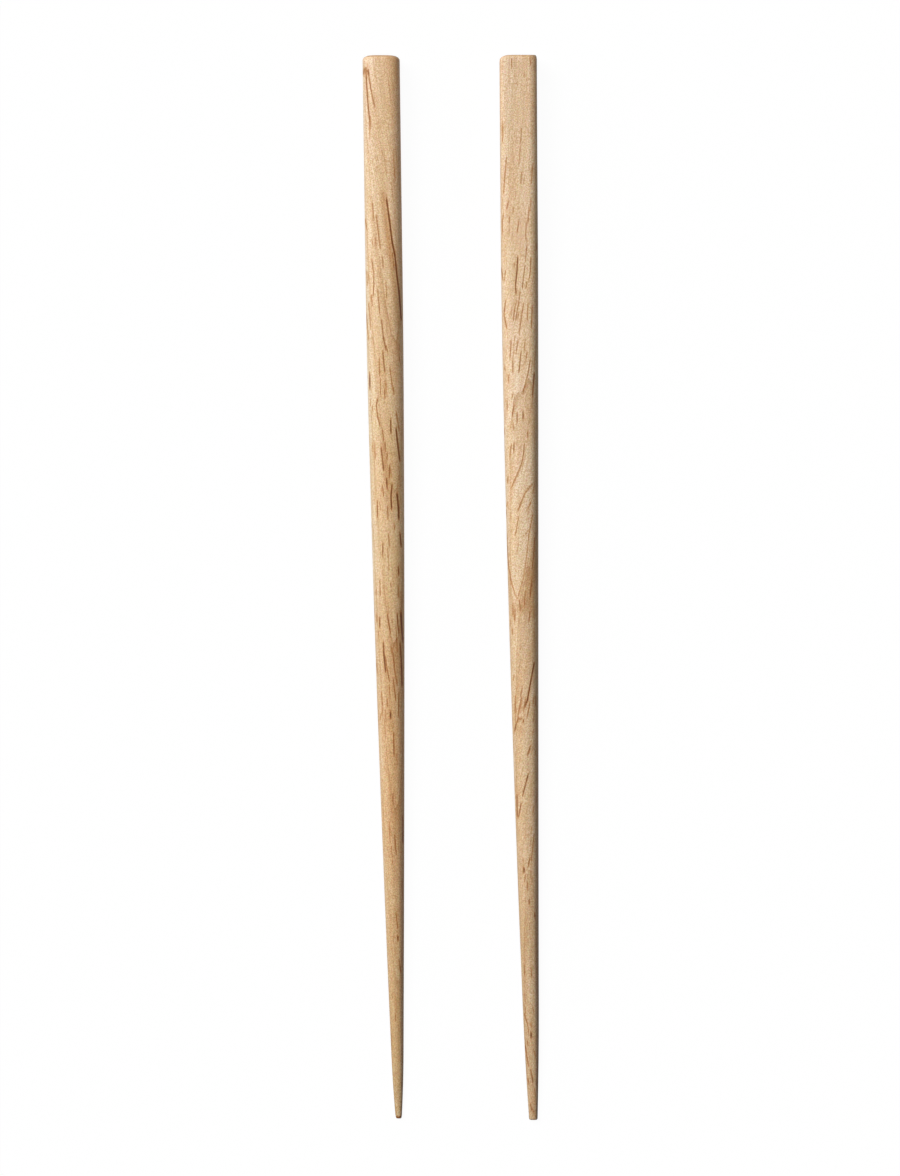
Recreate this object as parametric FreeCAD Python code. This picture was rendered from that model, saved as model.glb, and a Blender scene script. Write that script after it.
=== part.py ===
import FreeCAD, Part
import math
import os
from collections import namedtuple

# A pair of slim wooden chopsticks. Each is one stick, nearly square at the thick end, the
# butt, and turning round towards a thin, blunt tip.
# They lie side by side on the plane z = 0, on their straight undersides.
# +X is to the right, +Y towards the butts and +Z up. All lengths are in millimetres.

# Sizes that both sticks share, and how much shorter the left one is cut
length = 230.0
left_shortfall = 0.3
handle_width = 8.03
butt_spacing = 29.6

# The left stick's outline
left_taper_start = 50.0
left_taper_power = 1.5
left_tip_width = 1.96
left_nose_length = 14.0
left_nose_thinning = 0.65
left_squareness = 1.8
left_rounding_length = 50.0
left_lean = 3.79
left_bow = 0.21

# The left stick's ends: how far the rounding reaches along it, and in from each side
left_butt_round_depth = 1.0
left_butt_inset_left = 1.9
left_butt_inset_right = 1.9
left_butt_inset_face = 1.6
left_tip_round_depth = 0.9
left_tip_inset = 0.2

# The right stick's outline
right_taper_start = 42.0
right_taper_power = 1.4
right_tip_width = 2.51
right_nose_length = 25.0
right_nose_thinning = 0.68
right_squareness = 8.0
right_rounding_length = 36.0
right_lean = 3.33
right_bow = 0.55

# The right stick's ends
right_butt_round_depth = 1.1
right_butt_inset_left = 2.1
right_butt_inset_right = 0.35
right_butt_inset_face = 0.8
right_tip_round_depth = 0.4
right_tip_inset = 0.3

# A section is a superellipse. This exponent makes it a circle, and a stick's squareness at its
# butt is what is added there.
round_exponent = 2.0

# How much is worn flat along each underside, so that the stick has a face to lie on
sole_depth = 0.03

# How finely the curved stretches are divided
section_step = 10.0
end_sections = 6
side_points = 24

Stick = namedtuple(
    "Stick",
    "length taper_start taper_power tip_width nose_length nose_thinning squareness rounding_length "
    "lean bow butt_round_depth butt_inset_left butt_inset_right butt_inset_face "
    "tip_round_depth tip_inset",
)

left_stick = Stick(
    length - left_shortfall,
    left_taper_start,
    left_taper_power,
    left_tip_width,
    left_nose_length,
    left_nose_thinning,
    left_squareness,
    left_rounding_length,
    left_lean,
    left_bow,
    left_butt_round_depth,
    left_butt_inset_left,
    left_butt_inset_right,
    left_butt_inset_face,
    left_tip_round_depth,
    left_tip_inset,
)

right_stick = Stick(
    length,
    right_taper_start,
    right_taper_power,
    right_tip_width,
    right_nose_length,
    right_nose_thinning,
    right_squareness,
    right_rounding_length,
    right_lean,
    right_bow,
    right_butt_round_depth,
    right_butt_inset_left,
    right_butt_inset_right,
    right_butt_inset_face,
    right_tip_round_depth,
    right_tip_inset,
)


def width_at(stick, run):
    """The stick's width and height at a distance from its butt: a long taper, then a thinner nose."""
    taper = max(0.0, (run - stick.taper_start) / (stick.length - stick.taper_start))
    nose = max(0.0, 1.0 - (stick.length - run) / stick.nose_length)
    taper_loss = (handle_width - stick.tip_width) * taper**stick.taper_power
    return handle_width - taper_loss - stick.nose_thinning * nose**2


def exponent_at(stick, run):
    """The section's exponent at a distance from the butt, which falls away to a circle's."""
    return round_exponent + stick.squareness * math.exp(-run / stick.rounding_length)


def middle_at(stick, run):
    """How far right of the butt's middle the stick's middle is: a lean with a shallow bow to the left."""
    along = run / stick.length
    chord_to_bow = 4.0 * along * (1.0 - along)
    return stick.lean * along - stick.bow * chord_to_bow


def outline(x_range, z_range, exponent, y):
    """A smooth closed wire in a plane across the stick: a superellipse that fills both ranges.

    It has four edges, which meet at the corners: the right side, the top, the left side and the underside.
    """
    middle_x, half_x = (x_range[0] + x_range[1]) / 2, (x_range[1] - x_range[0]) / 2
    middle_z, half_z = (z_range[0] + z_range[1]) / 2, (z_range[1] - z_range[0]) / 2
    points = []
    for index in range(4 * side_points):
        angle = math.pi / 2 * index / side_points - math.pi / 4
        cosine, sine = math.cos(angle), math.sin(angle)
        reach = (abs(cosine) ** exponent + abs(sine) ** exponent) ** (-1.0 / exponent)
        points.append(FreeCAD.Vector(middle_x + half_x * reach * cosine, y, middle_z + half_z * reach * sine))
    curve = Part.BSplineCurve()
    curve.interpolate(Points=points, PeriodicFlag=True, Parameters=range(4 * side_points + 1))
    sides = []
    for side in range(4):
        sides.append(curve.toShape(side * side_points, (side + 1) * side_points))
    return Part.Wire(sides)


def section(stick, run, inset_left=0.0, inset_right=0.0, inset_face=0.0):
    """The stick's outline across itself at a distance from its butt, drawn in where an end is rounded."""
    width = width_at(stick, run)
    middle = middle_at(stick, run)
    x_range = (middle - width / 2 + inset_left, middle + width / 2 - inset_right)
    z_range = (inset_face - sole_depth, width - sole_depth - inset_face)
    return outline(x_range, z_range, exponent_at(stick, run), -run)


def end_steps():
    """Steps round a quarter of an ellipse, from its outer edge to the end face.

    Each is how far along its depth and how far along its inset the step has come.
    """
    steps = []
    for index in range(end_sections + 1):
        angle = math.radians(90.0 * index / end_sections)
        steps.append((math.sin(angle), 1.0 - math.cos(angle)))
    return steps


def butt_end(stick):
    """The rounded end of the handle."""
    wires = []
    for outward, inward in end_steps():
        run = stick.butt_round_depth * (1.0 - outward)
        insets = (
            stick.butt_inset_left * inward,
            stick.butt_inset_right * inward,
            stick.butt_inset_face * inward,
        )
        wires.append(section(stick, run, *insets))
    return Part.makeLoft(wires, True, False)


def tip_end(stick):
    """The rounded end of the tip."""
    wires = []
    for outward, inward in end_steps():
        run = stick.length - stick.tip_round_depth * (1.0 - outward)
        inset = stick.tip_inset * inward
        wires.append(section(stick, run, inset, inset, inset))
    return Part.makeLoft(wires, True, False)


def shaft(stick):
    """The stick between its two rounded ends."""
    start = stick.butt_round_depth
    end = stick.length - stick.tip_round_depth
    count = max(2, round((end - start) / section_step))
    wires = []
    for index in range(count + 1):
        wires.append(section(stick, start + (end - start) * index / count))
    return Part.makeLoft(wires, True, False)


def make_stick(stick):
    """One whole stick with its butt's middle at x = 0, cut flat along its underside."""
    whole = shaft(stick).fuse([butt_end(stick), tip_end(stick)])
    box = whole.BoundBox
    margin = handle_width
    below = Part.makeBox(
        box.XLength + 2 * margin,
        box.YLength + 2 * margin,
        margin,
        FreeCAD.Vector(box.XMin - margin, box.YMin - margin, -margin),
    )
    return whole.cut(below)


def centred(shapes):
    """The shapes moved together, so that the origin is under the middle of the pair."""
    box = Part.Compound(shapes).optimalBoundingBox()
    shift = FreeCAD.Vector(-box.Center.x, -box.Center.y, 0.0)
    moved = []
    for shape in shapes:
        moved.append(shape.translated(shift))
    return moved


def main():
    left = make_stick(left_stick)
    right = make_stick(right_stick).translated(FreeCAD.Vector(butt_spacing, 0.0, 0.0))
    left, right = centred([left, right])
    os.makedirs("parts", exist_ok=True)
    left.exportStep("parts/left_chopstick.step")
    right.exportStep("parts/right_chopstick.step")
    for name, shape in (("left_chopstick", left), ("right_chopstick", right)):
        box = shape.optimalBoundingBox()
        print(name, "solids", len(shape.Solids), "valid", shape.isValid(), "volume", round(shape.Volume, 1))
        print("  x", round(box.XMin, 3), round(box.XMax, 3), "y", round(box.YMin, 3), round(box.YMax, 3))
        print("  z", round(box.ZMin, 4), round(box.ZMax, 3))


main()
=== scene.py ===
import math
from collections import namedtuple

import bpy
import numpy as np
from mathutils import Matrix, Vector


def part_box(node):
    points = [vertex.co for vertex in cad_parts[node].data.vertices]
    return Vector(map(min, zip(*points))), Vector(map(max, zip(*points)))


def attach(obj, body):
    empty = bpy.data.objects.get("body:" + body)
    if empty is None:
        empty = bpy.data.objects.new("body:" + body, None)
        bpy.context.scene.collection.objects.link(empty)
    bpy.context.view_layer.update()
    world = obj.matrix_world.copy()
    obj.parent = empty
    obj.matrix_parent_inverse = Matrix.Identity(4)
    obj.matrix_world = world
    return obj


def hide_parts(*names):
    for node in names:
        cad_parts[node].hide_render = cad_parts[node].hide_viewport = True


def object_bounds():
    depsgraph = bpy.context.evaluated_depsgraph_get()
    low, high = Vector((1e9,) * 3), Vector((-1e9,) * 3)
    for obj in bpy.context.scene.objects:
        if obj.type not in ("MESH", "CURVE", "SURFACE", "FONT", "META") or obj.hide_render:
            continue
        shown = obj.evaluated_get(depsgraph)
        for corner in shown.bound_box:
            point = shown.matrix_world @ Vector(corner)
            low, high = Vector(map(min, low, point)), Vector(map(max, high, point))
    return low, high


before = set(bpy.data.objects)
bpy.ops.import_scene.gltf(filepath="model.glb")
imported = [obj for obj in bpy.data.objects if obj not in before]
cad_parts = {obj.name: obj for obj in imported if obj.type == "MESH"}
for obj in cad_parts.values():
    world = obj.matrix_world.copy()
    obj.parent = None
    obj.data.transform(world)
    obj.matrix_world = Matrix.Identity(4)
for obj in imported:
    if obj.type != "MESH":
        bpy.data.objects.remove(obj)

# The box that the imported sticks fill, kept before anything is added
cad_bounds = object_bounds()

# Millimetres to Blender's metres
MM = 0.001

# The sizes that both sticks share, in millimetres, as the solids have them, and the exponent that
# makes a section a circle
HANDLE_WIDTH = 8.03
SOLE_DEPTH = 0.03
ROUND_EXPONENT = 2.0

# How finely a stick's surface is divided: columns round it, denser on top, and rows along it
TOP_COLUMNS = 144
UNDER_COLUMNS = 48
ROW_STEP = 0.5
END_ROWS = 7
FACE_RINGS = 6

# Growth rings lie round a pith this far below the top of a stick. This many more of them lie
# beyond the first and the last that a stick names.
PITH_DEPTH = 12.7
FURTHER_RINGS = 12

# The grain wanders from side to side this far, in waves this long. Each millimetre across and up
# turns the wave by this much, in radians, and the grain's lean is added up in this many steps.
GRAIN_WAVE = 0.14
GRAIN_WAVE_LENGTH = 27.0
GRAIN_TURN_ACROSS = 0.6
GRAIN_TURN_UP = 0.7
GRAIN_STEPS = 460

# The half width of the faintest and of the darkest stroke, how steep its sides are, how much of its
# darkness breaks up, and the length of its pieces
STROKE_HALF_WIDTHS = (0.085, 0.195)
STROKE_STEEPNESS = 1.5
STROKE_BREAKS = 0.35
STROKE_PIECE = 1.0

# The share of its darkness that a stroke has at its very ends, the least that it has past them, and
# the length over which that share would rise from nothing to the whole
STROKE_END = 0.5
STROKE_PAST_END = 0.3
STROKE_FADE = 1.0

# A path leaves out what is further than this many half widths past its ends
PATH_REACH = 3.0

# How far the darkest stroke is sunk into the wood, and the most of the way to the middle that a
# point is sunk. The smallest length keeps a distance from the middle from being nothing.
STROKE_SINK = 0.03
STROKE_MOST_SUNK = 0.1
SMALLEST_LENGTH = 1e-6

# Fainter strokes strewn all round a stick: how many are tried, how near an end they start, their
# usual length and how widely it varies, and how dark the faintest and the darkest are
SCATTERED = 550
SCATTER_MARGIN = 1.5
SCATTER_LENGTH = 1.8
SCATTER_SPREAD = 0.5
SCATTER_DARKNESS = (0.03, 0.36)

# How wide across the grain and how long along it the features of each noise are, in millimetres
WOBBLE_CELLS = (1.2, 9.0)
CLEARNESS_CELLS = (2.5, 16.0)
FIBRE_CELLS = (0.27, 5.0)
GATHERED_CELLS = (1.0, 30.0)
PINK_CELLS = (2.6, 18.0)
AMBER_CELLS = (1.8, 16.0)
SPECKLE_CELLS = (0.22, 0.26)
COLOURED_SPECKLE_CELLS = (0.25, 0.28)

# The values that a noise mostly keeps to, those over which patches come in, and how strongly each
# kind of shading shows
NOISE_RANGE = (0.3, 0.7)
PATCH_RANGE = (0.42, 0.62)
FIBRE_DEPTH = 0.11
GATHERED_DEPTH = 0.06
SPECKLE_DEPTH = 0.25
COLOURED_SPECKLE_SHARE = 0.18

# How strongly the wood's shading acts on red, green and blue
SHADE_SHARES = (0.62, 1.0, 1.45)

# Growth rings: how far a ring's place wobbles, how strong its late wood and its line are, and over
# what share of a ring each fades. Over its range, the clearness noise rises from the least to 1.
RING_WOBBLE = 0.06
LATE_STRENGTH = 0.9
LATE_SHARE = 0.4
LINE_STRENGTH = 0.5
LINE_SHARE = 0.045
CLEARNESS_RANGE = (0.38, 0.62)
LEAST_CLEAR = 0.35

# Where the tints of the sides and of the tip come in and go: the left tint is paler wood with painted
# sheen, and the right one and the tip's are painted shade. A place across is -1 at the left side and 1
# at the right, and a place along is 0 at the butt and 1 at the tip. Down the right flank, the right
# painted shade fades to a share.
LEFT_PALE_AND_SHEEN_REACH = (-0.3, -0.95)
LEFT_PALE_AND_SHEEN_END = (0.75, 0.95)
RIGHT_SHADE_FLANK = (0.93, 1.0)
RIGHT_SHADE_FLANK_SHARE = 0.3
TIP_SHADE_REACH = (0.4, 0.7)
TIP_SHADE_START = (0.55, 0.95)

# The levels over which a stroke's streak comes in, and then its dark core
STREAK_LEVELS = (0.0, 0.2)
CORE_LEVELS = (0.2, 0.65)

# How squarely a face looks along the stick where its end grain starts to show, and where it is full
END_FACING = (0.6, 0.95)

# The surface's finish: how far fibres stand up next to the depth of a stroke, how strongly and how
# deep in millimetres this shows, the roughness over the noise's range, and how much it mirrors
FIBRE_HEIGHT = 0.2
BUMP_STRENGTH = 0.3
BUMP_DEPTH = 0.05
ROUGHNESS = (0.52, 0.64)
SPECULAR = 0.3

# Linear multipliers for the wood's details, and for the painted shade at the tip
STREAK_TINT = (0.74, 0.54, 0.36, 1.0)
CORE_TINT = (0.36, 0.24, 0.15, 1.0)
# The tip's tint is painted shade on the right of the tip
TIP_SHADE_TINT = (0.64, 0.61, 0.68, 1.0)
PALE_TINT = (1.2, 1.3, 1.45, 1.0)
RING_TINT = (0.8, 0.68, 0.54, 1.0)
LINE_TINT = (0.6, 0.42, 0.26, 1.0)
PINK_TINT = (1.0, 0.96, 0.955, 1.0)
AMBER_TINT = (0.975, 0.93, 0.86, 1.0)
END_TINT = (0.78, 0.68, 0.58, 1.0)

# Every stroke is a pore or a ring line that can be seen on the top of a stick, except the left
# stick's last one, which is painted shade along its tip's end: how dark it is, less than nothing
# where it is pale, and the places that it passes, each as the distance from the butt and the
# distance to the right of the stick's middle
LEFT_STROKES = (
    (0.6, (3.4, -2.8), (7.5, -2.25), (11.3, -1.5)),
    (0.6, (4.0, -3.25), (8.9, -3.05), (14.7, -2.6)),
    (0.45, (7.5, -3.0), (12, -2.9), (14, -2.4), (16, -2.5)),
    (0.35, (14, -2.7), (18, -2.6)),
    (0.3, (22, 2.4), (27, 2.7)),
    (0.9, (31, 0.8), (36, 1.4), (40.5, 1.9), (43, 2.4), (47.5, 2.8), (51, 3.2), (57, 3.6)),
    (0.35, (32.0, -2.3), (33.9, -2.1)),
    (0.3, (32.5, -2.2), (35.5, -2.1)),
    (0.45, (34.5, -1.5), (39, -1.0), (41.5, -0.7)),
    (0.35, (35.1, -3.9), (37.5, -3.6)),
    (0.35, (39.5, -1.7), (41.5, -1.6)),
    (0.4, (43.5, -0.3), (46, -0.1)),
    (0.5, (44, -2.6), (47, -2.2), (49.5, -2.2), (52, -2.4)),
    (0.35, (46.7, -3.7), (49.8, -3.6)),
    (0.3, (47, -3.4), (49, -3.3)),
    (0.35, (48.6, 0.4), (52.5, 0.5)),
    (0.45, (50.5, -1.4), (56, -1.0)),
    (0.4, (53.4, -3.4), (59.0, -3.0)),
    (0.35, (55.3, -4.0), (61.4, -3.5)),
    (0.6, (57, -0.7), (61, -0.3), (63.5, 0.2)),
    (0.5, (62.5, 0.2), (64.4, 0.6)),
    (0.6, (64, -0.5), (68.5, -0.1)),
    (0.4, (65.4, -1.3), (69.2, -1.2)),
    (0.45, (67.5, 1.0), (72, 1.5)),
    (0.7, (68.5, -3.4), (72, -3.4)),
    (0.3, (69.6, -1.1), (73.5, -1.1)),
    (0.3, (69.9, 0.1), (72.3, 0.2)),
    (0.5, (71.6, 1.7), (73.2, 1.8)),
    (0.5, (72, -0.2), (74, -0.2)),
    (0.55, (74, -1.7), (75.5, -2.1), (78, -1.8), (80, -1.3)),
    (0.35, (75.5, -2.9), (76.8, -2.9)),
    (0.5, (77, 2.2), (81, 2.8)),
    (0.8, (78.5, 1.0), (81.5, 1.0)),
    (0.85, (80.5, 2.1), (83.5, 2.4), (87.5, 2.8)),
    (0.5, (83.4, -0.3), (85.4, -0.2)),
    (0.35, (83.7, -2.5), (87.3, -2.5)),
    (0.3, (83.7, -3.1), (85.9, -3.1)),
    (0.7, (84.5, -1.2), (89.5, -0.7)),
    (0.5, (85.7, 0.1), (87.3, 0.1)),
    (0.65, (88.5, 0.6), (91, 0.6)),
    (0.75, (91.2, -0.1), (93.4, 0.0)),
    (0.8, (92.5, 1.1), (95, 0.8), (98, 0.9)),
    (0.3, (93.1, -1.2), (94.3, -1.2)),
    (1.0, (94.5, 2.1), (98, 2.4), (100, 2.4)),
    (0.5, (96, -2.1), (99.5, -2.2)),
    (0.5, (97.3, 0.0), (100.1, 0.1)),
    (0.5, (101.4, 1.5), (102.3, 1.5)),
    (0.85, (103, 2.6), (106, 2.8)),
    (0.45, (103.1, 0.1), (106.2, 0.3)),
    (0.5, (105, -1.1), (108.3, -1.2)),
    (0.8, (110.2, 2.1), (112, 2.2)),
    (0.45, (113, -1.9), (116.5, -1.9)),
    (0.45, (114.2, 2.0), (117, 2.0)),
    (0.35, (115, -2.7), (116.7, -2.8)),
    (0.45, (115.2, 0.5), (115.7, 0.5)),
    (0.9, (120, 2.5), (126.5, 2.8)),
    (0.65, (120.4, 1.7), (122.5, 1.8), (124.6, 2.0)),
    (0.45, (120.5, -2.7), (122.3, -2.7)),
    (0.5, (120.5, -0.4), (124.5, 0.2)),
    (0.65, (121.1, -2.1), (123.4, -2.1)),
    (0.8, (126.5, -1.4), (129, -1.3), (133, -1.0)),
    (0.75, (126.6, 2.2), (130, 2.4), (136, 2.5)),
    (0.44, (127.2, 0.2), (129.2, 0.7), (133.0, 1.0), (135.8, 1.5)),
    (0.4, (127.8, 0.3), (129.1, 0.3)),
    (0.48, (129.6, -1.0), (132.3, -0.7), (135.1, -0.2)),
    (0.35, (131.0, -3.0), (133.7, -2.6)),
    (0.44, (134.4, 0.6), (137.2, 0.9), (139.3, 1.1)),
    (0.5, (134.8, 1.3), (135.3, 1.3)),
    (0.4, (137.2, -2.0), (140.3, -1.8)),
    (0.44, (137.2, 1.8), (142.7, 1.6)),
    (0.35, (138.6, -0.8), (140.6, -0.7)),
    (0.35, (140.5, -1.9), (142.4, -1.9)),
    (1.0, (141.5, -0.1), (143, -0.1)),
    (0.35, (141.7, -2.1), (143.4, -2.4)),
    (0.5, (146, 0.5), (151, 0.5)),
    (0.4, (159, 0.2), (161, 0.1)),
    (0.6, (164, 2.1), (170, 2.1)),
    (0.45, (168, 0.3), (172.5, 0.6)),
    (0.45, (185, 0.3), (188.5, 0.6)),
    (0.9, (190, 0.6), (191, 0.6)),
    (0.5, (195, 0.7), (198, 1.1)),
    # Painted shade: the dark line along the shaded edge of the tip's end
    (0.8, (229.35, -0.35), (229.4, 0.45)),
)

# Soft bands of redder wood, or paler where the level is less than nothing, and at the left stick's
# tip a band of painted shade: the level, the half width, and the places passed
LEFT_BANDS = (
    (2.0, 0.48, (3.9, -3.85), (3.0, -3.4), (3.7, -3.05)),
    (-0.5, 0.5, (0.6, -2.2), (4.5, -2.0), (8, -1.3)),
    (-0.6, 0.22, (6, -2.6), (10, -2.3)),
    (1.0, 0.6, (30, 0.0), (40, 1.1), (50, 2.3), (58, 3.0)),
    (0.5, 0.6, (118, -2.2), (130, -1.3), (137, -0.7), (146, 0.0)),
    (0.5, 0.45, (116, 2.5), (126, 2.7), (136, 2.2), (150, 2.1)),
    # Painted shade along the shaded edge of the tip's end
    (2.0, 0.3, (229.5, -0.45), (229.5, 0.45)),
)

RIGHT_STROKES = (
    (0.4, (0.4, 2.5), (2.2, 2.6)),
    (0.4, (0.8, -1.5), (3, -1.4)),
    (0.4, (4.0, 1.2), (4.8, 1.3)),
    (0.35, (4.3, -0.9), (5.0, -0.9)),
    (-0.4, (4.6, -0.3), (5.3, -0.6)),
    (-0.4, (5.0, 1.6), (5.6, 1.5)),
    (0.35, (6.0, -0.4), (6.6, -0.2)),
    (0.35, (8.3, 0.8), (8.5, 1.1)),
    (0.45, (9.3, 1.4), (9.4, 1.8)),
    (0.35, (15, -3.4), (19, -3.5)),
    (0.4, (22, -2.7), (30, -3.4)),
    (0.35, (24, 2.9), (28, 2.6)),
    (0.44, (31.4, -2.3), (33.2, -2.7)),
    (0.4, (32.9, -1.3), (34.2, -1.4)),
    (0.45, (33, 2.1), (36.5, 1.8)),
    (0.44, (34.2, -3.4), (36.0, -3.7), (38.5, -3.6)),
    (0.4, (35.5, -0.1), (38.5, -0.5)),
    (0.4, (36.0, 1.5), (39.4, 1.3), (40.3, 1.7)),
    (0.55, (40.5, 3.7), (42, 3.7)),
    (0.48, (40.9, 1.6), (44.6, 1.2)),
    (0.7, (43.5, -0.4), (46.5, -0.6), (50, -1.0), (51.5, -0.8)),
    (0.44, (43.7, 2.4), (47.3, 2.2), (48.6, 1.9)),
    (0.48, (45.5, 1.1), (48.6, 0.7), (50.4, 0.5)),
    (0.4, (45.8, -4.0), (48.6, -3.6)),
    (0.4, (46.4, -3.1), (48.6, -3.3)),
    (0.4, (51.0, 0.1), (53.8, -0.4), (57.4, -1.0)),
    (-0.8, (52.2, -1.5), (52.8, -1.5)),
    (0.44, (52.8, -3.1), (55.9, -3.5), (59.0, -2.9)),
    (0.44, (53.1, -0.7), (54.7, -1.2), (57.4, -1.5)),
    (0.4, (53.4, 0.8), (56.8, 0.2), (60.5, -0.3)),
    (0.4, (53.4, 1.7), (57.4, 1.5)),
    (0.44, (54.1, 2.6), (59.0, 2.4)),
    (0.5, (55.5, -0.3), (57, -0.6)),
    (0.5, (61.5, -2.0), (65.5, -2.3)),
    (0.35, (61.5, 1.0), (63.8, 0.8)),
    (0.5, (61.5, -0.5), (64.5, -1.0)),
    (0.35, (63.8, 1.4), (66, 1.1)),
    (0.55, (64, 0.1), (68.5, -0.4)),
    (0.45, (65.5, 2.1), (68.5, 1.6), (73, 0.4)),
    (0.55, (66, -1.7), (68.5, -1.7)),
    (0.45, (67, -3.4), (68, -3.4)),
    (0.75, (68.5, 2.9), (73.5, 2.5)),
    (0.45, (69, -2.7), (70.3, -2.7)),
    (0.45, (73, -1.7), (74, -2.0)),
    (0.4, (74.2, -3.0), (76.6, -3.0)),
    (0.6, (75.5, -1.5), (78, -2.0)),
    (0.5, (77, -0.9), (79.5, -0.9)),
    (0.75, (77, 0.4), (78.5, 0.4)),
    (0.5, (79.2, -1.8), (80.7, -1.7)),
    (0.4, (80.4, -3.6), (82, -3.6)),
    (0.6, (81, 1.4), (82.5, 1.3)),
    (0.55, (83.7, -1.6), (85.6, -1.7)),
    (0.5, (83.7, 0.6), (86, 0.4), (88, 0.0), (89.5, -0.6), (93.5, -2.4)),
    (0.5, (84, -2.2), (87, -2.6)),
    (0.55, (91, -3.0), (92.1, -3.1)),
    (0.48, (92.5, 2.2), (94.3, 0.7), (98.5, -1.1)),
    (0.4, (96.2, 2.0), (98.4, 0.8)),
    (0.5, (96.5, -3.2), (97.1, -3.3)),
    (0.45, (98, -3.5), (99.2, -3.5)),
    (0.3, (98.8, 2.3), (102.3, 1.5), (104, -0.2)),
    (0.45, (99.5, -0.8), (103.5, -1.6)),
    (0.4, (103, -3.4), (107, -3.3), (110.3, -3.1), (113.5, -2.6), (116, -1.9), (117.2, -1.4)),
    (0.35, (104, 2.6), (108, 2.3), (111, 1.9)),
    (0.35, (113.5, 1.8), (117, 1.4)),
    (0.35, (115.5, 0.4), (119, 0.1)),
    (0.3, (117.2, -1.3), (115.5, -0.8), (112, 0.2), (108, 0.8), (103.6, 1.3), (99.2, 2.2)),
    (0.45, (117.4, -0.9), (119.6, -0.7)),
    (0.3, (118, -2.3), (121, -2.4)),
    (0.35, (119.2, -2.3), (122.3, -2.0)),
    (0.4, (119.5, -1.9), (122, -1.9)),
    (0.5, (120, 1.4), (122.5, 1.0)),
    (0.5, (123.7, -2.5), (125, -2.5)),
    (0.4, (127.8, -0.9), (128.3, -0.9)),
    (0.8, (131, 2.1), (133.5, 1.6), (135.5, 1.2), (137, 0.9), (139, 0.5), (140.7, -0.2)),
    (0.5, (133.7, -2.3), (134.7, -2.4)),
    (0.35, (138, 2.3), (140.5, 2.2)),
    (0.4, (138.1, -2.1), (142, -2.2)),
    (0.4, (138.2, -0.7), (141.3, -1.4), (143.4, -1.7)),
    (0.4, (138.2, 1.9), (140.0, 1.7)),
    (0.4, (138.6, 0.1), (141.7, -0.4)),
    (0.45, (139, -0.6), (142, -1.5)),
    (0.4, (139.3, 1.1), (142.7, 0.4)),
    (0.6, (146, -2.4), (144, -2.0), (142.9, -1.2), (143.6, -0.4)),
    (0.7, (149, 1.0), (151, 0.3)),
    (0.7, (155, 0.4), (157.5, -0.3), (159.7, -0.9)),
    (0.5, (159.5, -2.1), (164.5, -2.1)),
    (0.5, (161.3, -1.2), (164.5, -1.9)),
    (0.5, (173, 0.5), (175, 0.0)),
    (1.0, (175.3, -0.9), (176.3, -0.9)),
    (0.6, (176.8, -0.6), (178.3, -0.8)),
    (0.5, (178.3, -0.2), (179.8, -0.2)),
    (0.75, (182.2, 0.1), (183.3, 0.1)),
    (0.7, (185.2, 1.2), (186, 1.3)),
    (0.4, (197, 0.2), (199, 0.3)),
    (0.3, (205, 0.2), (207, 0.7)),
    (0.5, (206.8, -1.5), (209.5, -0.7)),
    (0.4, (208.7, -0.3), (210, 0.1)),
    (1.0, (210.9, -0.1), (212, -0.1)),
    (0.55, (212.9, -0.9), (213.6, -0.8)),
    (0.45, (213.7, -1.4), (216, -1.1), (218.4, -0.8)),
    (0.3, (214.5, 0.3), (216.5, 0.8)),
    (0.6, (219, -0.4), (221, 0.0), (222, 0.1)),
    (0.4, (220.8, -1.1), (222.1, -0.8)),
    (0.3, (223, 0.3), (225, 0.6)),
    (0.5, (226.3, -0.6), (228, -0.3)),
    (0.4, (227.5, -0.2), (228.4, 0.2)),
)

RIGHT_BANDS = (
    (-0.35, 0.5, (0.5, -2.9), (6, -2.8), (10, -2.9)),
    (0.5, 0.4, (0.5, 3.2), (3, 3.3)),
    (1.2, 0.55, (95, 4.3), (99.2, 3.6), (104, 2.9), (109, 2.5)),
    (1.2, 0.95, (108, 2.9), (112, 2.2), (116.5, 1.4), (119, 0.0)),
    (0.6, 0.35, (111, -3.7), (114, -3.3), (117.5, -2.5)),
    (0.6, 1.2, (119, -2.0), (119.5, 2.2)),
    (-0.4, 1.2, (60, -0.5), (72, -0.8)),
    (-0.15, 1.3, (88, 0.0), (98, -0.6)),
)

# The sizes of one stick and the look of its wood. Lengths are in millimetres from the butt.
# At each of its places, grain_slopes says how steeply the grain leans to the right.
# A growth ring shows on the top as a parabola that turns round at one of ring_turns, over the
# place that ring_middles gives. It opens towards the tip, or the butt where ring_spread is negative.
# The colours are the wood's from the butt to the tip. The tints multiply them along the two sides:
# the left one is paler wood with painted sheen, and the right one is painted shade, which comes in
# over the reach given for it.
Stick = namedtuple(
    "Stick",
    "node slot seed length "
    "taper_start taper_power tip_width nose_length nose_thinning squareness rounding_length lean bow "
    "butt_round_depth butt_inset_left butt_inset_right butt_inset_face tip_round_depth tip_inset "
    "grain_slopes ring_turns ring_middles ring_spread "
    "colours left_tint right_tint right_reach strokes bands",
)

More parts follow.
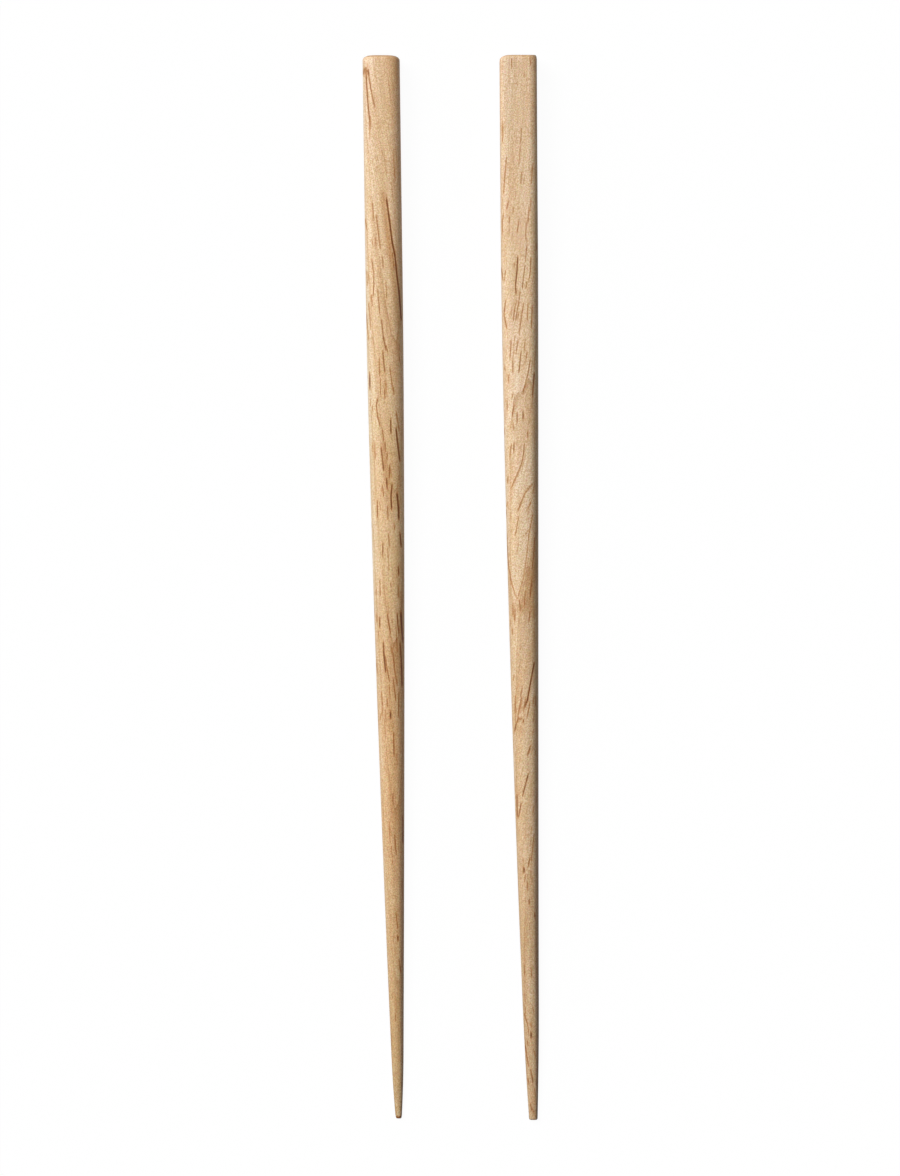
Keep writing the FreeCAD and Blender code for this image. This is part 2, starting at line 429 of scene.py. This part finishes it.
LEFT = Stick(
    node="left_chopstick",
    slot="left_wood",
    seed=11,
    length=229.7,
    taper_start=50.0,
    taper_power=1.5,
    tip_width=1.96,
    nose_length=14.0,
    nose_thinning=0.65,
    squareness=1.8,
    rounding_length=50.0,
    lean=3.79,
    bow=0.21,
    butt_round_depth=1.0,
    butt_inset_left=1.9,
    butt_inset_right=1.9,
    butt_inset_face=1.6,
    tip_round_depth=0.9,
    tip_inset=0.2,
    grain_slopes=((0, 0.12), (85, 0.12), (110, 0.06), (150, 0.03), (190, 0.05), (230, 0.08)),
    ring_turns=(-30.0, 38.0, 75.0, 112.0, 150.0, 190.0),
    ring_middles=((0, -3.0), (60, -3.3), (230, -2.6)),
    ring_spread=0.86,
    colours=(
        (0.0, (215, 182, 143)),
        (0.45, (206, 175, 133)),
        (0.7, (197, 159, 115)),
        (1.0, (178, 150, 109)),
    ),
    # Paler wood with painted sheen along the left, and painted shade along the right
    left_tint=(1.08, 1.24, 1.5, 1.0),
    right_tint=(0.85, 0.85, 0.88, 1.0),
    right_reach=(0.4, 0.8),
    strokes=LEFT_STROKES,
    bands=LEFT_BANDS,
)

RIGHT = Stick(
    node="right_chopstick",
    slot="right_wood",
    seed=23,
    length=230.0,
    taper_start=42.0,
    taper_power=1.4,
    tip_width=2.51,
    nose_length=25.0,
    nose_thinning=0.68,
    squareness=8.0,
    rounding_length=36.0,
    lean=3.33,
    bow=0.55,
    butt_round_depth=1.1,
    butt_inset_left=2.1,
    butt_inset_right=0.35,
    butt_inset_face=0.8,
    tip_round_depth=0.4,
    tip_inset=0.3,
    grain_slopes=(
        (0, -0.05),
        (40, -0.1),
        (95, -0.25),
        (115, -0.12),
        (150, -0.28),
        (185, 0.0),
        (230, 0.25),
    ),
    ring_turns=(-25.0, 72.4, 115.6, 178.7, 236.0),
    ring_middles=((72, -0.5), (116, -1.7), (178, -1.5)),
    ring_spread=-0.76,
    colours=(
        (0.0, (213, 184, 150)),
        (0.38, (216, 190, 157)),
        (0.6, (205, 176, 140)),
        (1.0, (178, 150, 115)),
    ),
    # Paler wood with painted sheen along the left, and painted shade along the right
    left_tint=(1.02, 1.04, 1.06, 1.0),
    right_tint=(0.52, 0.49, 0.44, 1.0),
    right_reach=(0.5, 0.88),
    strokes=RIGHT_STROKES,
    bands=RIGHT_BANDS,
)


def width_at(stick, run):
    """The stick's width and height at distances from its butt: a long taper, then a thinner nose."""
    taper = np.clip((run - stick.taper_start) / (stick.length - stick.taper_start), 0.0, None)
    nose = np.clip(1.0 - (stick.length - run) / stick.nose_length, 0.0, None)
    taper_loss = (HANDLE_WIDTH - stick.tip_width) * taper**stick.taper_power
    return HANDLE_WIDTH - taper_loss - stick.nose_thinning * nose**2


def exponent_at(stick, run):
    """The superellipse's exponent at distances from the butt, which falls away to a circle's."""
    return ROUND_EXPONENT + stick.squareness * np.exp(-run / stick.rounding_length)


def middle_at(stick, run):
    """How far right of the butt's middle the stick's middle is: a lean with a shallow bow to the left."""
    along = run / stick.length
    return stick.lean * along - stick.bow * 4.0 * along * (1.0 - along)


def row_places(stick):
    """Each row's distance from the butt, share of the end's inset, and share drawn in over an end face."""
    quarter = np.linspace(0.0, math.pi / 2, END_ROWS + 1)
    outward, inward = np.sin(quarter), 1.0 - np.cos(quarter)
    body_start, body_end = stick.butt_round_depth, stick.length - stick.tip_round_depth
    body = np.linspace(body_start, body_end, round((body_end - body_start) / ROW_STEP) + 1)
    butt = stick.butt_round_depth * (1.0 - outward[:0:-1])
    tip = stick.length - stick.tip_round_depth * (1.0 - outward[1:])
    rings = np.arange(FACE_RINGS - 1, 0, -1) / FACE_RINGS
    run = np.concatenate([np.zeros(len(rings)), butt, body, tip, np.full(len(rings), stick.length)])
    inset = np.concatenate(
        [np.ones(len(rings)), inward[:0:-1], np.zeros(len(body)), inward[1:], np.ones(len(rings))]
    )
    drawn_in = np.concatenate([rings, np.zeros(len(butt) + len(body) + len(tip)), rings[::-1]])
    return run, inset, drawn_in


def column_angles():
    """Directions round a section, from the right over the top, with most of them on top."""
    top = np.linspace(0.0, math.pi, TOP_COLUMNS, endpoint=False)
    under = np.linspace(math.pi, 2.0 * math.pi, UNDER_COLUMNS, endpoint=False)
    return np.concatenate([top, under])


def surface(stick):
    """The stick's plain surface: x, height and run of every point as rows by columns, in millimetres."""
    run, inset, drawn_in = row_places(stick)
    angle = column_angles()
    run, inset, drawn_in = run[:, None], inset[:, None], drawn_in[:, None]
    width, middle, exponent = width_at(stick, run), middle_at(stick, run), exponent_at(stick, run)
    at_tip = run > stick.length / 2
    inset_left = np.where(at_tip, stick.tip_inset, stick.butt_inset_left) * inset
    inset_right = np.where(at_tip, stick.tip_inset, stick.butt_inset_right) * inset
    inset_face = np.where(at_tip, stick.tip_inset, stick.butt_inset_face) * inset
    low_x, high_x = middle - width / 2 + inset_left, middle + width / 2 - inset_right
    low_z, high_z = inset_face - SOLE_DEPTH, width - SOLE_DEPTH - inset_face
    cosine, sine = np.cos(angle), np.sin(angle)
    reach = (np.abs(cosine) ** exponent + np.abs(sine) ** exponent) ** (-1.0 / exponent)
    reach = reach * (1.0 - drawn_in)
    x = (low_x + high_x) / 2 + (high_x - low_x) / 2 * reach * cosine
    z = (low_z + high_z) / 2 + (high_z - low_z) / 2 * reach * sine
    return x, z, np.broadcast_to(run, x.shape)


def grain_space(stick, x, z, run):
    """Each point's place in the wood before the grain bent: across, height and run."""
    places, slopes = np.array(stick.grain_slopes).T
    fine = np.linspace(0.0, stick.length, GRAIN_STEPS + 1)
    slope = np.interp(fine, places, slopes)
    drift = np.concatenate([[0.0], np.cumsum((slope[1:] + slope[:-1]) / 2 * np.diff(fine))])
    turn = 2.0 * math.pi * run / GRAIN_WAVE_LENGTH + stick.seed
    across = x - np.interp(run, fine, drift) + GRAIN_WAVE * np.sin(turn + GRAIN_TURN_ACROSS * x)
    height = z + GRAIN_WAVE * np.cos(turn + GRAIN_TURN_UP * z)
    return np.stack([across, height, run], axis=-1)


def rings_crossed(stick, x, z, run):
    """How many growth rings out each point is, as a smooth number whose whole values are ring lines."""
    places, middles = np.array(stick.ring_middles).T
    across = x - middle_at(stick, run) - np.interp(run, places, middles)
    depth = width_at(stick, run) - SOLE_DEPTH - z
    from_ring = np.hypot(across, PITH_DEPTH - depth) - PITH_DEPTH
    reach = run - from_ring * 2.0 * PITH_DEPTH / stick.ring_spread
    turns = np.array(stick.ring_turns)
    spacing = (turns[-1] - turns[0]) / (len(turns) - 1)
    further = spacing * np.arange(1, FURTHER_RINGS + 1)
    known = np.concatenate([turns[0] - further[::-1], turns, turns[-1] + further])
    return np.interp(reach, known, np.arange(len(known)))


def near_path(run, across, places, half_width):
    """How near each point is to a path: 1 on it, and almost nothing two half widths away from it."""
    near = np.zeros_like(run)
    reach = PATH_REACH * half_width
    for (start_run, start_across), (end_run, end_across) in zip(places, places[1:]):
        low, high = sorted((start_run, end_run))
        rows = (run[:, 0] > low - reach) & (run[:, 0] < high + reach)
        step_run, step_across = end_run - start_run, end_across - start_across
        out_run, out_across = run[rows] - start_run, across[rows] - start_across
        share = (out_run * step_run + out_across * step_across) / (step_run**2 + step_across**2)
        share = np.clip(share, 0.0, 1.0)
        gap = np.hypot(out_run - share * step_run, out_across - share * step_across)
        near[rows] = np.maximum(near[rows], np.exp(-((gap / half_width) ** 2)))
    return near


def drawn(darkness, run, across, places):
    """How dark a stroke makes each point. A darker stroke is a wider pore, and its sides are steep."""
    faintest, darkest = STROKE_HALF_WIDTHS
    half_width = faintest + (darkest - faintest) * abs(darkness)
    near = near_path(run, across, places, half_width)
    return darkness * np.clip(0.5 + STROKE_STEEPNESS * (near - 0.5), 0.0, 1.0)


def top_strokes(stick, x, z, run):
    """How dark each point of the surface is made by the strokes that are seen on its top."""
    rng = np.random.default_rng(stick.seed)
    across = x - middle_at(stick, run)
    dark = np.zeros_like(x)
    for darkness, *places in stick.strokes:
        pieces = np.arange(0.0, stick.length, STROKE_PIECE)
        breaks = 1.0 - STROKE_BREAKS * rng.random(len(pieces))
        first, last = min(place[0] for place in places), max(place[0] for place in places)
        to_end = np.minimum(run - first, last - run)
        fade = np.clip(STROKE_END + to_end / STROKE_FADE, STROKE_PAST_END, 1.0)
        fade = fade * np.interp(run, pieces, breaks)
        level = fade * drawn(darkness, run, across, places)
        dark = np.where(np.abs(level) > np.abs(dark), level, dark)
    return dark * (z > width_at(stick, run) / 2)


def top_bands(stick, x, z, run):
    """How much redder, or paler where it is less than nothing, each point is made by the soft bands."""
    across = x - middle_at(stick, run)
    level = np.zeros_like(x)
    for strength, half_width, *places in stick.bands:
        added = strength * near_path(run, across, places, half_width)
        level = np.where(np.abs(added) > np.abs(level), added, level)
    return level * (z > width_at(stick, run) / 2)


def scattered_strokes(stick, x, z, run):
    """How dark each point is made by faint short strokes, which lie along the grain all round the stick."""
    rng = np.random.default_rng(stick.seed + 1)
    places, slopes = np.array(stick.grain_slopes).T
    steps = np.hypot(np.roll(x, -1, axis=1) - x, np.roll(z, -1, axis=1) - z)
    round_it, girth = np.cumsum(steps, axis=1) - steps, steps.sum(axis=1, keepdims=True)
    dark = np.zeros_like(x)
    for _ in range(SCATTERED):
        start = rng.uniform(SCATTER_MARGIN, stick.length - SCATTER_MARGIN)
        share, chance, spread, depth = rng.random(), rng.random(), rng.normal(), rng.random()
        if chance * HANDLE_WIDTH > width_at(stick, start):
            continue
        span = min(SCATTER_LENGTH * math.exp(SCATTER_SPREAD * spread), stick.length - start)
        darkness = SCATTER_DARKNESS[0] + (SCATTER_DARKNESS[1] - SCATTER_DARKNESS[0]) * depth**2
        slope = -np.interp(start, places, slopes) * math.sin(2.0 * math.pi * share)
        path = ((start, 0.0), (start + span, slope * span))
        level = drawn(darkness, run, round_it - share * girth, path)
        dark = np.maximum(dark, level)
    return dark


def face_centres(stick):
    """The middles of the two end faces: x, height and run."""
    ends = np.array([0.0, stick.length])
    return np.stack([middle_at(stick, ends), width_at(stick, ends) / 2, ends], axis=-1)


def stick_points(stick, x, z, run, dark):
    """Every point in metres, the dark strokes sunk, and then the middles of the end faces."""
    middle_x, middle_z = middle_at(stick, run), width_at(stick, run) / 2
    radius = np.hypot(x - middle_x, z - middle_z) + SMALLEST_LENGTH
    keep = 1.0 - np.minimum(STROKE_SINK * np.clip(dark, 0.0, None) / radius, STROKE_MOST_SUNK)
    sunk_x = middle_x + (x - middle_x) * keep
    sunk_z = np.maximum(middle_z + (z - middle_z) * keep, 0.0)
    points = np.stack([sunk_x, sunk_z, run], axis=-1).reshape(-1, 3)
    points = np.concatenate([points, face_centres(stick)])
    points = points[:, [0, 2, 1]] * (MM, -MM, MM)
    low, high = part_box(stick.node)
    points[:, 0] += low[0] - points[:, 0].min()
    points[:, 1] += high[1] - points[:, 1].max()
    return points.tolist()


def stick_faces(rows, columns):
    """A face between each four neighbouring points, and a fan round the middle of each end face."""
    index = np.arange(rows * columns).reshape(rows, columns)
    after = np.roll(index, -1, axis=1)
    quads = np.stack([index[:-1], index[1:], after[1:], after[:-1]], axis=-1).reshape(-1, 4)
    butt_centre, tip_centre = rows * columns, rows * columns + 1
    butt_fan = np.stack([np.full(columns, butt_centre), index[0], after[0]], axis=-1)
    tip_fan = np.stack([np.full(columns, tip_centre), after[-1], index[-1]], axis=-1)
    return quads.tolist() + butt_fan.tolist() + tip_fan.tolist()


def stick_mesh(stick):
    """The stick's mesh, in metres, with its wood's measures as attributes of its points."""
    x, z, run = surface(stick)
    dark = top_strokes(stick, x, z, run)
    faint = scattered_strokes(stick, x, z, run)
    dark = np.where(np.abs(dark) > faint, dark, faint)
    mesh = bpy.data.meshes.new(stick.node + "_wood")
    mesh.from_pydata(stick_points(stick, x, z, run, dark), [], stick_faces(*x.shape))
    mesh.polygons.foreach_set("use_smooth", np.ones(len(mesh.polygons), bool))
    all_x, all_z, all_run = (
        np.append(values.ravel(), ends) for values, ends in zip((x, z, run), face_centres(stick).T)
    )
    add_measure(mesh, "grain", grain_space(stick, all_x, all_z, all_run))
    add_measure(mesh, "ring", rings_crossed(stick, all_x, all_z, all_run))
    add_measure(mesh, "along", all_run / stick.length)
    add_measure(mesh, "side", 2.0 * (all_x - middle_at(stick, all_run)) / width_at(stick, all_run))
    add_measure(mesh, "stroke", np.append(dark.ravel(), (0.0, 0.0)))
    add_measure(mesh, "band", np.append(top_bands(stick, x, z, run).ravel(), (0.0, 0.0)))
    mesh.update()
    return mesh


def add_measure(mesh, name, values):
    """Stores one number or one vector for each point."""
    kind, key = ("FLOAT_VECTOR", "vector") if values.ndim == 2 else ("FLOAT", "value")
    layer = mesh.attributes.new(name, kind, "POINT")
    layer.data.foreach_set(key, values.astype(np.float32).ravel())


def from_srgb(colour):
    """A colour of 0 to 255, as a screen shows it, as the linear values that shaders take.

    The numbers are those of the sRGB standard.
    """
    shares = np.array(colour) / 255.0
    linear = np.where(shares <= 0.04045, shares / 12.92, ((shares + 0.055) / 1.055) ** 2.4)
    return (*linear.tolist(), 1.0)


class Shader:
    """A material whose nodes are added one by one."""

    def __init__(self, name):
        self.material = bpy.data.materials.new(name)
        self.material.use_nodes = True
        self.tree = self.material.node_tree
        self.tree.nodes.clear()

    def add(self, kind, settings=None, inputs=None):
        """One node, with its settings, and with its inputs set to values or joined to outputs."""
        node = self.tree.nodes.new("ShaderNode" + kind)
        for key, value in (settings or {}).items():
            setattr(node, key, value)
        for key, value in (inputs or {}).items():
            if isinstance(value, bpy.types.NodeSocket):
                self.tree.links.new(value, node.inputs[key])
            else:
                node.inputs[key].default_value = value
        return node

    def measure(self, name, output="Fac"):
        """One of the measures that the mesh carries."""
        return self.add("Attribute", {"attribute_name": name}).outputs[output]

    def mapped(self, value, low, high, to_low, to_high, kind="LINEAR"):
        """A number taken from one range to another, and held within it."""
        inputs = {"Value": value, "From Min": low, "From Max": high, "To Min": to_low, "To Max": to_high}
        return self.add("MapRange", {"interpolation_type": kind}, inputs).outputs["Result"]

    def math(self, operation, first, second=0.0):
        """One sum, product or other working on numbers."""
        return self.add("Math", {"operation": operation}, {0: first, 1: second}).outputs[0]

    def blend(self, way, share, first, second):
        """Two colours mixed, multiplied or otherwise joined."""
        node = self.add("MixRGB", {"blend_type": way}, {"Fac": share, "Color1": first, "Color2": second})
        return node.outputs["Color"]

    def shaded(self, colour, noise, depth):
        """A colour darkened and lightened by noise. As in wood, what is darker is also redder."""
        tints = []
        for sign in (-1.0, 1.0):
            tints.append((*(1.0 + sign * depth * share for share in SHADE_SHARES), 1.0))
        tint = self.blend("MIX", self.mapped(noise, *NOISE_RANGE, 0.0, 1.0), *tints)
        return self.blend("MULTIPLY", 1.0, colour, tint)

    def ramp(self, value, stops):
        """A colour that changes along a list of places and colours."""
        node = self.add("ValToRGB", {}, {"Fac": value})
        elements = node.color_ramp.elements
        while len(elements) < len(stops):
            elements.new(0.5)
        for element, (place, colour) in zip(elements, stops):
            element.position = place
            element.color = from_srgb(colour)
        return node.outputs["Color"]

    def stretched(self, grain, across, along):
        """The wood's own space, in cells this wide and this long in millimetres."""
        scale = (1 / across, 1 / across, 1 / along)
        return self.add("VectorMath", {"operation": "MULTIPLY"}, {0: grain, 1: scale}).outputs["Vector"]

    def noise(self, grain, across, along, detail=2.0, output="Fac"):
        """Soft noise with features this wide and this long."""
        inputs = {"Vector": self.stretched(grain, across, along), "Scale": 1.0, "Detail": detail}
        return self.add("TexNoise", {}, inputs).outputs[output]


def with_paleness_sheen_and_shade(shader, stick, along, colour):
    """Paler wood and painted sheen along the left, except at the tip, and painted shade along the right,
    most of all at the tip.
    """
    side = shader.measure("side")
    # Paler wood and painted sheen along the left, fading out towards the tip
    left = shader.mapped(side, *LEFT_PALE_AND_SHEEN_REACH, 0.0, 1.0)
    left = shader.math("MULTIPLY", left, shader.mapped(along, *LEFT_PALE_AND_SHEEN_END, 1.0, 0.0))
    colour = shader.blend("MULTIPLY", left, colour, stick.left_tint)
    # Painted shade along the right side, which keeps only a share of it down the upright flank
    right = shader.mapped(side, *stick.right_reach, 0.0, 1.0)
    flank = shader.mapped(side, *RIGHT_SHADE_FLANK, 1.0, RIGHT_SHADE_FLANK_SHARE)
    right = shader.math("MULTIPLY", right, flank)
    colour = shader.blend("MULTIPLY", right, colour, stick.right_tint)
    # Painted shade on the right of the tip
    tip = shader.mapped(side, *TIP_SHADE_REACH, 0.0, 1.0)
    tip = shader.math("MULTIPLY", tip, shader.mapped(along, *TIP_SHADE_START, 0.0, 1.0))
    return shader.blend("MULTIPLY", tip, colour, TIP_SHADE_TINT)


def with_rings(shader, grain, colour):
    """Growth rings, clearer in some places, and the soft bands.

    A ring is darkest just outside its line, and fades towards the next.
    """
    wobble = shader.mapped(shader.noise(grain, *WOBBLE_CELLS), 0.0, 1.0, -RING_WOBBLE, RING_WOBBLE)
    phase = shader.math("FRACT", shader.math("ADD", shader.measure("ring"), wobble))
    clearness = shader.noise(grain, *CLEARNESS_CELLS)
    clearness = shader.mapped(clearness, *CLEARNESS_RANGE, LEAST_CLEAR, 1.0)
    band = shader.measure("band")
    late = shader.mapped(phase, 0.0, LATE_SHARE, LATE_STRENGTH, 0.0, "SMOOTHSTEP")
    late = shader.math("MULTIPLY", late, clearness)
    late = shader.math("ADD", late, shader.mapped(band, 0.0, 1.0, 0.0, 1.0))
    colour = shader.blend("MULTIPLY", late, colour, RING_TINT)
    line = shader.mapped(phase, 0.0, LINE_SHARE, LINE_STRENGTH, 0.0)
    line = shader.math("MULTIPLY", line, clearness)
    line = shader.math("ADD", line, shader.mapped(band, 1.0, 2.0, 0.0, 1.0))
    colour = shader.blend("MULTIPLY", line, colour, LINE_TINT)
    return shader.blend("MULTIPLY", shader.mapped(band, 0.0, -1.0, 0.0, 1.0), colour, PALE_TINT)


def with_fibres(shader, grain, fibres, colour):
    """Fibres, the bands that they gather into, pinker and more amber patches, and fine speckle."""
    colour = shader.shaded(colour, fibres, FIBRE_DEPTH)
    colour = shader.shaded(colour, shader.noise(grain, *GATHERED_CELLS), GATHERED_DEPTH)
    for cells, tint in ((PINK_CELLS, PINK_TINT), (AMBER_CELLS, AMBER_TINT)):
        patches = shader.mapped(shader.noise(grain, *cells), *PATCH_RANGE, 0.0, 1.0)
        colour = shader.blend("MULTIPLY", patches, colour, tint)
    colour = shader.shaded(colour, shader.noise(grain, *SPECKLE_CELLS, 0.0), SPECKLE_DEPTH)
    specks = shader.noise(grain, *COLOURED_SPECKLE_CELLS, 0.0, "Color")
    return shader.blend("OVERLAY", COLOURED_SPECKLE_SHARE, colour, specks)


def with_strokes(shader, stroke, colour):
    """The strokes: orange-brown at their edges and dark in the middle, or pale all over."""
    for levels, tint in (
        (STREAK_LEVELS, STREAK_TINT),
        (CORE_LEVELS, CORE_TINT),
        ((0.0, -1.0), PALE_TINT),
    ):
        colour = shader.blend("MULTIPLY", shader.mapped(stroke, *levels, 0.0, 1.0), colour, tint)
    return colour


def with_end_grain(shader, colour):
    """Darker wood on the end faces."""
    normal = shader.add("TexCoord").outputs["Normal"]
    facing = shader.math("ABSOLUTE", shader.add("SeparateXYZ", {}, {"Vector": normal}).outputs["Y"])
    return shader.blend("MULTIPLY", shader.mapped(facing, *END_FACING, 0.0, 1.0), colour, END_TINT)


def wood(stick):
    """Sanded pale hardwood with no varnish: growth rings, fibres, mottling and dark open pores, with paler
    wood and painted sheen along the left, and painted shade along the right and at the tip.
    """
    shader = Shader(stick.slot)
    grain = shader.measure("grain", "Vector")
    along = shader.measure("along")
    stroke = shader.measure("stroke")
    fibres = shader.noise(grain, *FIBRE_CELLS)
    colour = shader.ramp(along, stick.colours)
    # Paler wood and painted sheen on the left, and painted shade on the right and at the tip
    colour = with_paleness_sheen_and_shade(shader, stick, along, colour)
    colour = with_rings(shader, grain, colour)
    colour = with_fibres(shader, grain, fibres, colour)
    colour = with_strokes(shader, stroke, colour)
    colour = with_end_grain(shader, colour)

    # The fibres stand up a little, and the strokes are open
    height = shader.math("SUBTRACT", shader.math("MULTIPLY", fibres, FIBRE_HEIGHT), stroke)
    relief = {"Strength": BUMP_STRENGTH, "Distance": BUMP_DEPTH * MM, "Height": height}
    inputs = {
        "Base Color": colour,
        "Roughness": shader.mapped(fibres, *NOISE_RANGE, *ROUGHNESS),
        "Specular IOR Level": SPECULAR,
        "Normal": shader.add("Bump", {}, relief).outputs["Normal"],
    }
    finished = shader.add("BsdfPrincipled", {}, inputs)
    shader.add("OutputMaterial", {}, {"Surface": finished.outputs["BSDF"]})
    return shader.material


def add_stick(stick):
    """One whole stick, in place of its solid."""
    mesh = stick_mesh(stick)
    mesh.materials.append(wood(stick))
    piece = bpy.data.objects.new(stick.node + "_wood", mesh)
    bpy.context.scene.collection.objects.link(piece)
    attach(piece, "root")
    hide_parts(stick.node)


# The photograph's size, the place of the pair's middle in it and the pair's length, in pixels
IMAGE_SIZE = (900, 1176)
PAIR_MIDDLE = (450.8, 588.5)
PAIR_PIXELS = 1064.9

# The camera's lens and the longer side of its sensor, in millimetres
LENS = 200.0
SENSOR = 36.0


def add_camera():
    """Looks straight down, and shows the pair at the place and the size that it has in the photograph."""
    low, high = cad_bounds
    pixel = (high[1] - low[1]) / PAIR_PIXELS
    data = bpy.data.cameras.new("camera")
    data.lens = LENS
    data.sensor_width = SENSOR
    camera = bpy.data.objects.new("camera", data)
    distance = IMAGE_SIZE[1] * pixel * LENS / SENSOR
    camera.location = (
        (low[0] + high[0]) / 2 - (PAIR_MIDDLE[0] - IMAGE_SIZE[0] / 2) * pixel,
        (low[1] + high[1]) / 2 + (PAIR_MIDDLE[1] - IMAGE_SIZE[1] / 2) * pixel,
        (low[2] + high[2]) / 2 + distance,
    )
    bpy.context.scene.collection.objects.link(camera)
    bpy.context.scene.camera = camera


# Each lamp has a vector that points to it and is as long as it is strong, and a width in degrees
LAMPS = {
    "low_left": ((-0.355, 0.15, 0.06), 40.0),
    "main": ((-0.447, 0.42, 0.85), 36.0),
    "low_front_right": ((0.15, -0.15, 0.02), 50.0),
}

# How strong the sky is where it isn't seen
SKY = 0.06

# The floor's width in metres, its colour for the light that it throws back and where it is seen, and
# how much of what is seen of it is plain white
FLOOR_SIZE = 6.0
FLOOR_GREY = (0.35, 0.35, 0.35, 1.0)
FLOOR_WHITE = (0.95, 0.95, 0.95, 1.0)
FLOOR_GLOW_SHARE = 0.965


def add_lamps():
    """Suns, wide enough for soft shadows."""
    for name, (towards, width) in LAMPS.items():
        towards = Vector(towards)
        lamp = bpy.data.lights.new(name, "SUN")
        lamp.energy = towards.length * math.pi
        lamp.angle = math.radians(width)
        piece = bpy.data.objects.new(name, lamp)
        piece.rotation_euler = towards.to_track_quat("Z", "Y").to_euler()
        bpy.context.scene.collection.objects.link(piece)


def seen_directly(tree):
    """How far a ray comes from the camera, a mirror or glass, and not from a matt surface."""
    path = tree.nodes.new("ShaderNodeLightPath")
    total = path.outputs["Is Camera Ray"]
    for name in ("Is Glossy Ray", "Is Transmission Ray"):
        most = tree.nodes.new("ShaderNodeMath")
        most.operation = "MAXIMUM"
        tree.links.new(total, most.inputs[0])
        tree.links.new(path.outputs[name], most.inputs[1])
        total = most.outputs[0]
    return total


def add_sky():
    """Plain white where it is seen, and a low even light where it is not."""
    world = bpy.data.worlds.new("sky")
    bpy.context.scene.world = world
    world.use_nodes = True
    tree = world.node_tree
    background = tree.nodes["Background"]
    background.inputs["Color"].default_value = (1.0, 1.0, 1.0, 1.0)
    strength = tree.nodes.new("ShaderNodeMapRange")
    strength.inputs["To Min"].default_value = SKY
    tree.links.new(seen_directly(tree), strength.inputs["Value"])
    tree.links.new(strength.outputs["Result"], background.inputs["Strength"])


def add_floor():
    """A white floor that takes a faint shadow, and throws some light back up."""
    shader = Shader("floor")
    seen = seen_directly(shader.tree)
    matt = shader.blend("MIX", seen, FLOOR_GREY, FLOOR_WHITE)
    diffuse = shader.add("BsdfDiffuse", {}, {"Color": matt})
    glow = shader.add("Emission", {}, {"Color": (1.0, 1.0, 1.0, 1.0), "Strength": 1.0})
    share = shader.math("MULTIPLY", seen, FLOOR_GLOW_SHARE)
    mixed = shader.add("MixShader", {}, {"Fac": share, 1: diffuse.outputs[0], 2: glow.outputs[0]})
    shader.add("OutputMaterial", {}, {"Surface": mixed.outputs[0]})
    half = FLOOR_SIZE / 2
    corners = [(-half, -half, 0.0), (half, -half, 0.0), (half, half, 0.0), (-half, half, 0.0)]
    mesh = bpy.data.meshes.new("floor")
    mesh.from_pydata(corners, [], [(0, 1, 2, 3)])
    mesh.materials.append(shader.material)
    floor = bpy.data.objects.new("floor", mesh)
    bpy.context.scene.collection.objects.link(floor)


bpy.context.scene.view_settings.view_transform = "Standard"
add_camera()
add_lamps()
add_sky()
add_floor()
add_stick(LEFT)
add_stick(RIGHT)
